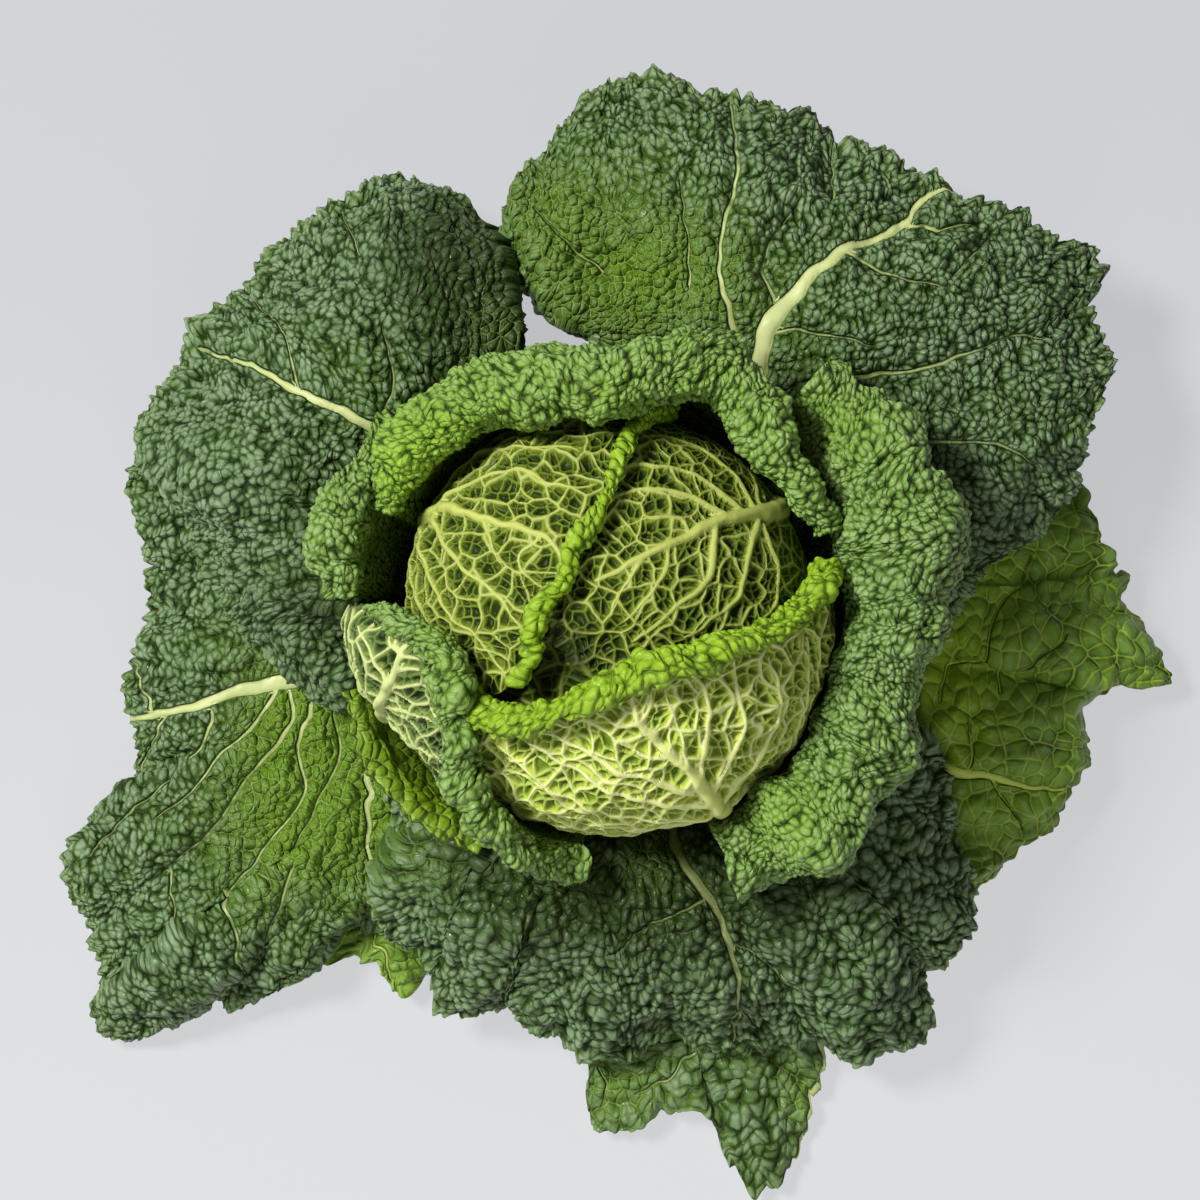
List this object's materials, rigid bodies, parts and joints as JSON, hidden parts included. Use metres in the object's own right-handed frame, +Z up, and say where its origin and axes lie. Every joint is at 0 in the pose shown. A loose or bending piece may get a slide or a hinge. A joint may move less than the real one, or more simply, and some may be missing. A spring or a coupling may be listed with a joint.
{
  "type": "savoy cabbage",
  "caption": "Whole savoy cabbage: a closed net-veined head inside rolled, blistered collar leaves and a wide rosette of spread outer leaves, standing on its cut stump.",
  "frame": {"origin": "centre of the stump's cut face, which the cabbage stands on", "axes": "+Z up through the head; +X and +Y level, with the biggest outer leaf between them"},
  "size_m": [0.4492, 0.4486, 0.1711],
  "materials": {
    "stump": "matte",
    "head_leaf": "satin",
    "collar_leaf": "satin",
    "outer_leaf": "satin",
    "fresh_leaf": "satin"
  },
  "bodies": {
    "root": {"stump": "stump", "heart": "head_leaf", "head_right": "head_leaf", "head_left": "head_leaf", "head_front": "head_leaf", "collar_north": "collar_leaf", "collar_east": "collar_leaf", "collar_west": "collar_leaf", "collar_southwest": "collar_leaf", "inner_southwest": "fresh_leaf", "outer_northeast": "outer_leaf", "outer_northwest": "outer_leaf", "outer_south": "outer_leaf", "outer_west": "outer_leaf", "outer_east": "outer_leaf", "under_south": "fresh_leaf", "under_southwest": "fresh_leaf"}
  },
  "joints": []
}
